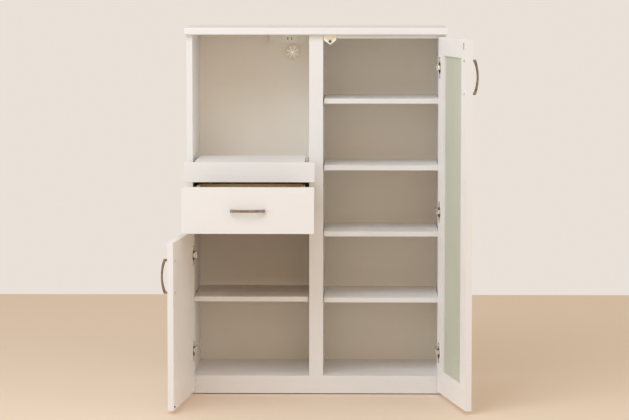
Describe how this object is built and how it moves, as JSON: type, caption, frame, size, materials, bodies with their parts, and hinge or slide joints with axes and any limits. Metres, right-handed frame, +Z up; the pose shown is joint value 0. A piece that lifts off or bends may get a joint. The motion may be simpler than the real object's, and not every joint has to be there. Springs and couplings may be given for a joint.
{
  "type": "kitchen cabinet",
  "caption": "White kitchen cabinet with an open niche, slide-out shelf, drawer and plain-door cupboard beside a tall cupboard with a frosted glass door, on cup hinges and slides.",
  "frame": {"origin": "on the floor under the middle of the carcass, at the middle glide of its plinth bearer", "axes": "+X to the right as seen from the front, +Y from the doors to the back, +Z up"},
  "size_m": [0.9282, 0.7772, 1.125],
  "materials": {
    "white_board": "satin white laminated board",
    "white_front": "smooth white lacquered board",
    "back_sheet": "matt white printed fibreboard",
    "drawer_board": "matt white wrapped board",
    "frosted_glass": "frosted pale green glass",
    "bronze": "antique bronze plated casting",
    "zinc_steel": "zinc plated sheet",
    "nickel_steel": "nickel plated",
    "white_plastic": "moulded, matt",
    "socket_plastic": "moulded, glossy",
    "grey_rubber": "soft, matt",
    "dark_magnet": "bare"
  },
  "bodies": {
    "carcass": {"left_side_panel": "white_board", "right_side_panel": "white_board", "centre_partition": "white_board", "bottom_board": "white_board", "front_plinth": "white_board", "rear_plinth": "white_board", "plinth_bearer": "white_board", "right_top_rail": "white_board", "niche_floor_board": "white_board", "drawer_floor_board": "white_board", "left_shelf": "white_board", "right_shelf_1": "white_board", "right_shelf_2": "white_board", "right_shelf_3": "white_board", "right_shelf_4": "white_board", "top_board": "white_front", "left_back_panel": "back_sheet", "right_back_panel": "back_sheet", "floor_glides": "white_plastic", "cord_grommet": "white_plastic", "outlet_box": "white_plastic", "catch_plate": "white_plastic", "outlet_socket": "socket_plastic", "shelf_pins": "zinc_steel", "slide_outer_rails": "zinc_steel", "hinge_arms": "nickel_steel", "hinge_plates": "nickel_steel", "catch_magnet": "dark_magnet"},
    "drawer": {"drawer_front": "white_front", "drawer_left_side": "drawer_board", "drawer_right_side": "drawer_board", "drawer_inner_front": "drawer_board", "drawer_back": "drawer_board", "drawer_bottom": "drawer_board", "drawer_handle": "bronze", "drawer_handle_screws": "nickel_steel", "drawer_inner_rails": "zinc_steel"},
    "drawer_rails": {"drawer_middle_rails": "zinc_steel"},
    "slide_shelf": {"slide_shelf_fascia": "white_front", "slide_shelf_board": "white_board", "slide_shelf_battens": "white_board", "slide_shelf_inner_rails": "zinc_steel"},
    "slide_shelf_rails": {"slide_shelf_middle_rails": "zinc_steel"},
    "left_door": {"left_door_panel": "white_front", "left_door_handle": "bronze", "left_handle_screws": "nickel_steel", "left_hinge_cups": "nickel_steel", "left_hinge_pins": "nickel_steel", "left_door_bumper": "grey_rubber"},
    "right_door": {"right_door_hinge_stile": "white_front", "right_door_free_stile": "white_front", "right_door_top_rail": "white_front", "right_door_bottom_rail": "white_front", "right_door_glass_beads": "white_front", "right_door_glass": "frosted_glass", "right_door_handle": "bronze", "right_handle_screws": "nickel_steel", "right_hinge_cups": "nickel_steel", "right_hinge_pins": "nickel_steel", "right_strike_plate": "nickel_steel"}
  },
  "joints": [
    {"name": "left_door_hinge", "type": "hinge", "parent": "carcass", "child": "left_door", "pos_m": [-0.3845, -0.205, 0.2585], "axis": [0, 0, -1], "range_deg": [-95.5, 9.5]},
    {"name": "right_door_hinge", "type": "hinge", "parent": "carcass", "child": "right_door", "pos_m": [0.3845, -0.205, 0.554], "axis": [0, 0, 1], "range_deg": [-100.5, 4.5]},
    {"name": "drawer_slide", "type": "slide", "parent": "carcass", "child": "drawer", "axis": [0, -1, 0], "range_m": [-0.25, 0.05]},
    {"name": "drawer_rail_slide", "type": "slide", "parent": "carcass", "child": "drawer_rails", "axis": [0, -1, 0], "range_m": [-0.125, 0.025]},
    {"name": "shelf_slide", "type": "slide", "parent": "carcass", "child": "slide_shelf", "axis": [0, -1, 0], "range_m": [-0.14, 0.16]},
    {"name": "shelf_rail_slide", "type": "slide", "parent": "carcass", "child": "slide_shelf_rails", "axis": [0, -1, 0], "range_m": [-0.07, 0.08]}
  ],
  "couplings": [
    {"joint": "drawer_rail_slide", "follows": "drawer_slide", "ratio": 0.5},
    {"joint": "shelf_rail_slide", "follows": "shelf_slide", "ratio": 0.5}
  ]
}
